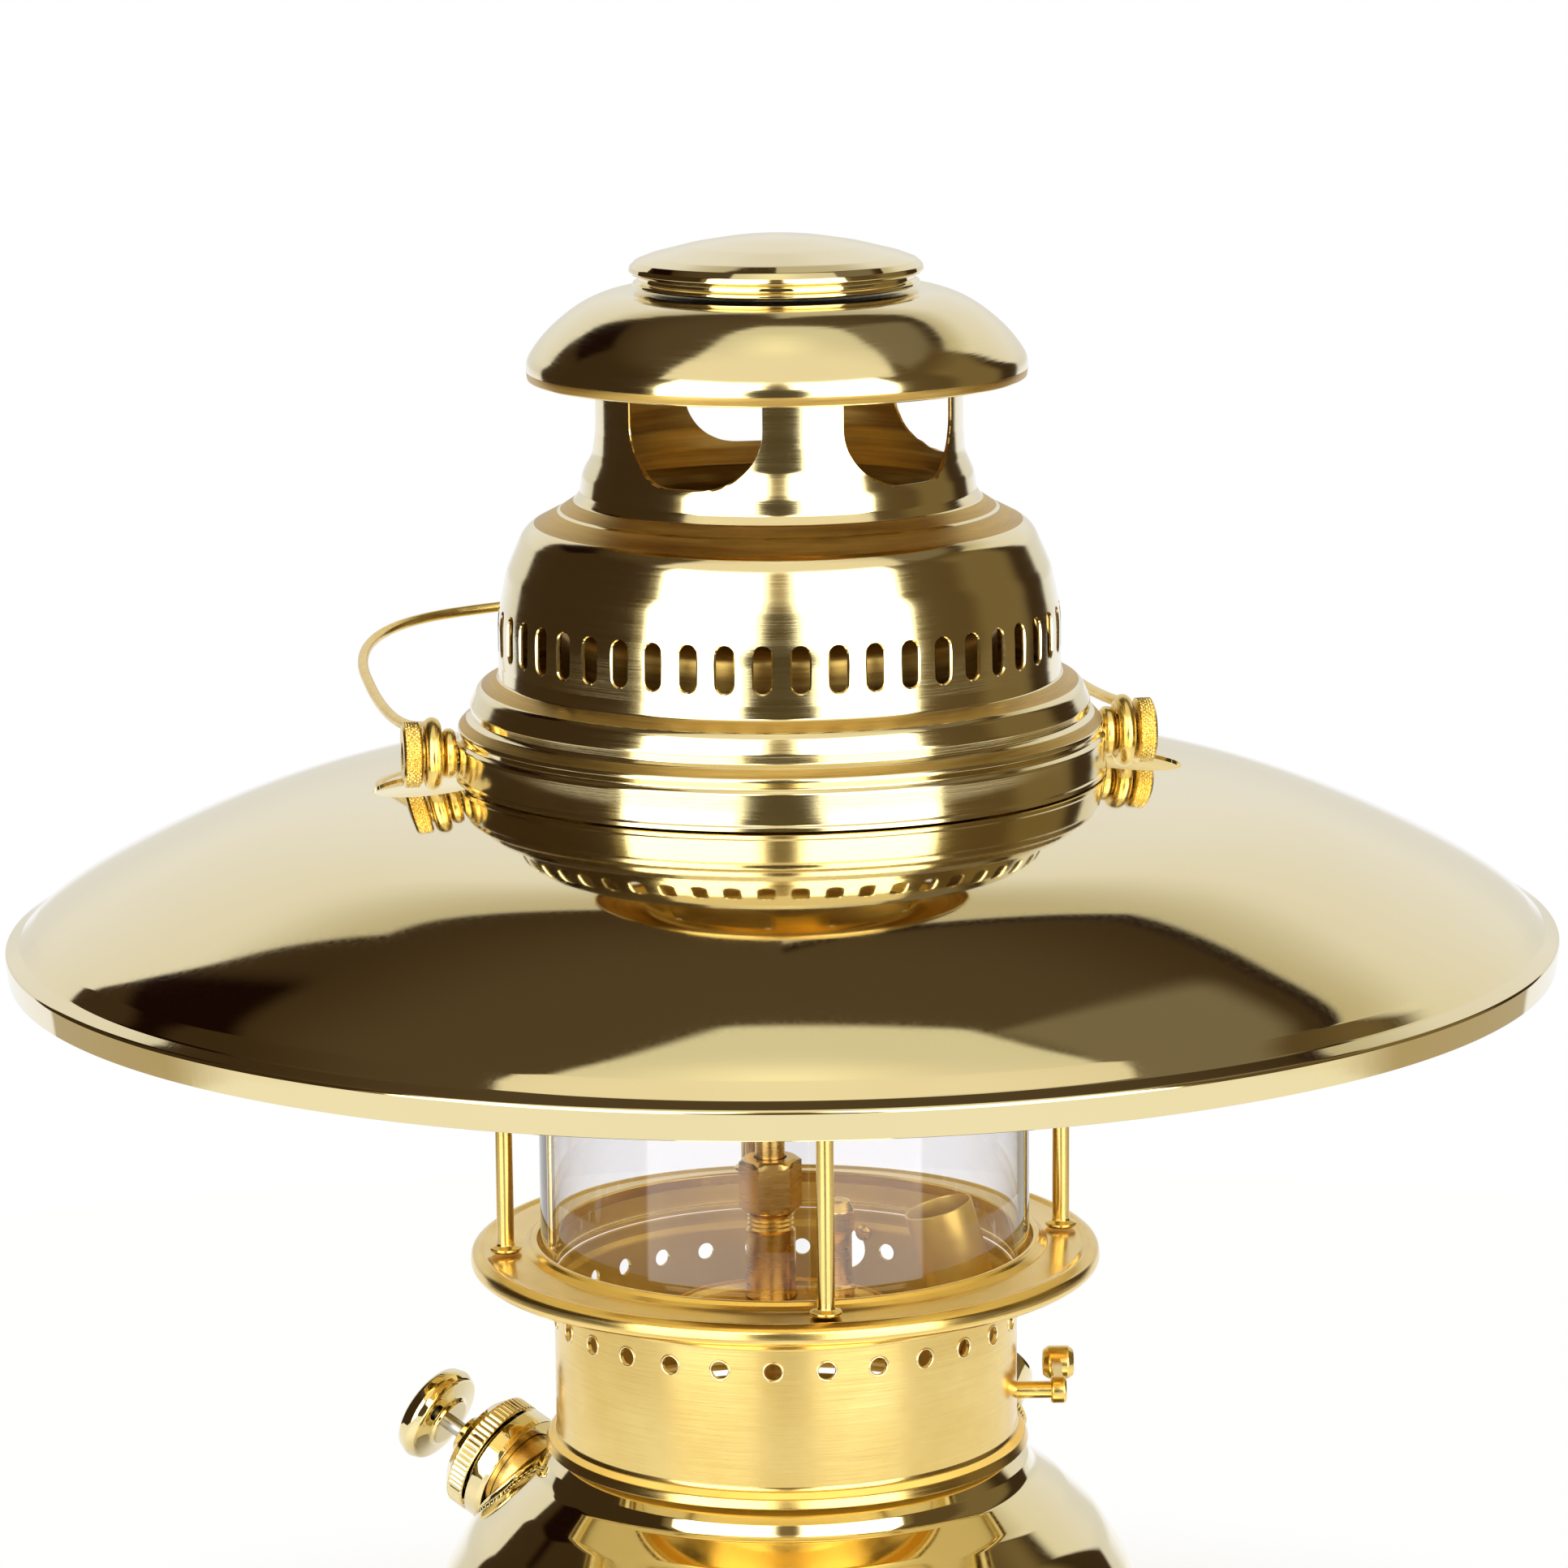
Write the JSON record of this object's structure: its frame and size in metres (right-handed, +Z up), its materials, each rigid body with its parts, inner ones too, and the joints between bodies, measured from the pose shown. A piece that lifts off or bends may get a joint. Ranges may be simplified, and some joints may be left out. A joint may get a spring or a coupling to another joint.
{
  "type": "pressure lantern",
  "caption": "Brass pressure lantern with a wide shade, vented hood, wire bail, glass chimney, fuel tank, pump and gauge.",
  "frame": {"origin": "centre of the foot ring on the ground", "axes": "+Z up along the lantern axis, +X along the bail pivots towards the right thumb nut, -Y towards the front rod"},
  "size_m": [0.36, 0.36, 0.4023],
  "materials": {
    "polished_brass": "mirror polish",
    "raw_brass": "machined or drawn, not polished",
    "satin_brass": "satin",
    "steel": "satin",
    "clear_glass": "clear",
    "black_rubber": "matte",
    "brown_leather": "oiled",
    "dial_white": "painted",
    "needle_black": "matte",
    "mantle_cloth": "knitted",
    "white_ceramic": "unglazed"
  },
  "bodies": {
    "frame": {"tank_shell": "polished_brass", "tank_foot_ring": "polished_brass", "pickup_tube": "raw_brass", "filler_neck": "polished_brass", "pump_barrel": "raw_brass", "pump_collar": "polished_brass", "pump_cap": "polished_brass", "pump_valve": "raw_brass", "gallery_ring": "polished_brass", "gallery_skirt": "polished_brass", "rod_right": "polished_brass", "rod_back": "polished_brass", "rod_left": "polished_brass", "rod_front": "polished_brass", "upper_ring": "polished_brass", "glass": "clear_glass", "gallery_screw": "polished_brass", "shade": "polished_brass", "trunnion_right": "satin_brass", "trunnion_left": "satin_brass", "valve_block": "raw_brass", "gland_nut": "raw_brass", "vaporizer_tube": "raw_brass", "jet_nipple": "raw_brass", "spindle_gland": "raw_brass", "spirit_tray": "raw_brass", "tray_post": "raw_brass", "preheater_tube": "raw_brass", "preheater_collar": "raw_brass", "preheater_riser": "raw_brass", "mantle": "mantle_cloth", "burner_nozzle": "white_ceramic", "mixing_chamber": "raw_brass", "mixing_tube": "raw_brass", "inner_casing": "raw_brass"},
    "bail": {"bail": "polished_brass"},
    "thumb_nut_right": {"thumb_nut_right": "satin_brass"},
    "thumb_nut_left": {"thumb_nut_left": "satin_brass"},
    "hood": {"hood_body": "polished_brass", "mushroom_cap": "polished_brass", "cap_button": "polished_brass", "cap_nut": "raw_brass"},
    "control": {"control_spindle": "raw_brass", "control_wheel": "polished_brass", "wheel_screw": "steel"},
    "needle": {"needle_rod": "steel"},
    "preheater_lever": {"preheater_lever": "raw_brass"},
    "pump": {"pump_rod": "steel", "pump_cup": "brown_leather", "pump_knob": "polished_brass"},
    "filler": {"filler_cap": "polished_brass", "gauge_body": "polished_brass", "gauge_dial": "dial_white", "gauge_glass": "clear_glass", "filler_gasket": "black_rubber"},
    "gauge_needle": {"gauge_needle": "needle_black"},
    "bleed": {"bleed_screw": "satin_brass"}
  },
  "joints": [
    {"name": "bail_swing", "type": "hinge", "parent": "frame", "child": "bail", "pos_m": [0, 0, 0.2844], "axis": [1, 0, 0], "range_deg": [-9, 176]},
    {"name": "thumb_nut_right_turn", "type": "hinge", "parent": "frame", "child": "thumb_nut_right", "pos_m": [0.0856, 0, 0.2844], "axis": [1, 0, 0], "range_deg": [0, 720]},
    {"name": "thumb_nut_left_turn", "type": "hinge", "parent": "frame", "child": "thumb_nut_left", "pos_m": [-0.0856, 0, 0.2844], "axis": [-1, 0, 0], "range_deg": [0, 720]},
    {"name": "hood_lift", "type": "slide", "parent": "frame", "child": "hood", "axis": [0, 0, 1], "range_m": [0, 0.04]},
    {"name": "control_turn", "type": "hinge", "parent": "frame", "child": "control", "pos_m": [0, 0.063, 0.13], "axis": [0, 1, 0], "range_deg": [0, 180]},
    {"name": "needle_rise", "type": "slide", "parent": "frame", "child": "needle", "axis": [0, 0, 1], "range_m": [0, 0.0025]},
    {"name": "preheater_lever_turn", "type": "hinge", "parent": "frame", "child": "preheater_lever", "pos_m": [0.06338, -0.00891, 0.128], "axis": [0.9903, -0.1392, 0], "range_deg": [0, 90]},
    {"name": "pump_stroke", "type": "slide", "parent": "frame", "child": "pump", "axis": [-0.6943, 0.5826, 0.4226], "range_m": [0, 0.06]},
    {"name": "filler_cap_turn", "type": "hinge", "parent": "frame", "child": "filler", "pos_m": [0.04692, 0.05592, 0.098], "axis": [0.4545, 0.5417, 0.7071], "range_deg": [0, 720]},
    {"name": "gauge_needle_turn", "type": "hinge", "parent": "filler", "child": "gauge_needle", "pos_m": [0.04692, 0.05592, 0.098], "axis": [-0.4545, -0.5417, -0.7071], "range_deg": [0, 270]},
    {"name": "bleed_screw_turn", "type": "hinge", "parent": "filler", "child": "bleed", "pos_m": [0.05001, 0.0596, 0.10281], "axis": [0.4545, 0.5417, -0.7071], "range_deg": [0, 540]}
  ],
  "couplings": [
    {"joint": "needle_rise", "follows": "control_turn", "m_per_rad": 0.00079577}
  ]
}
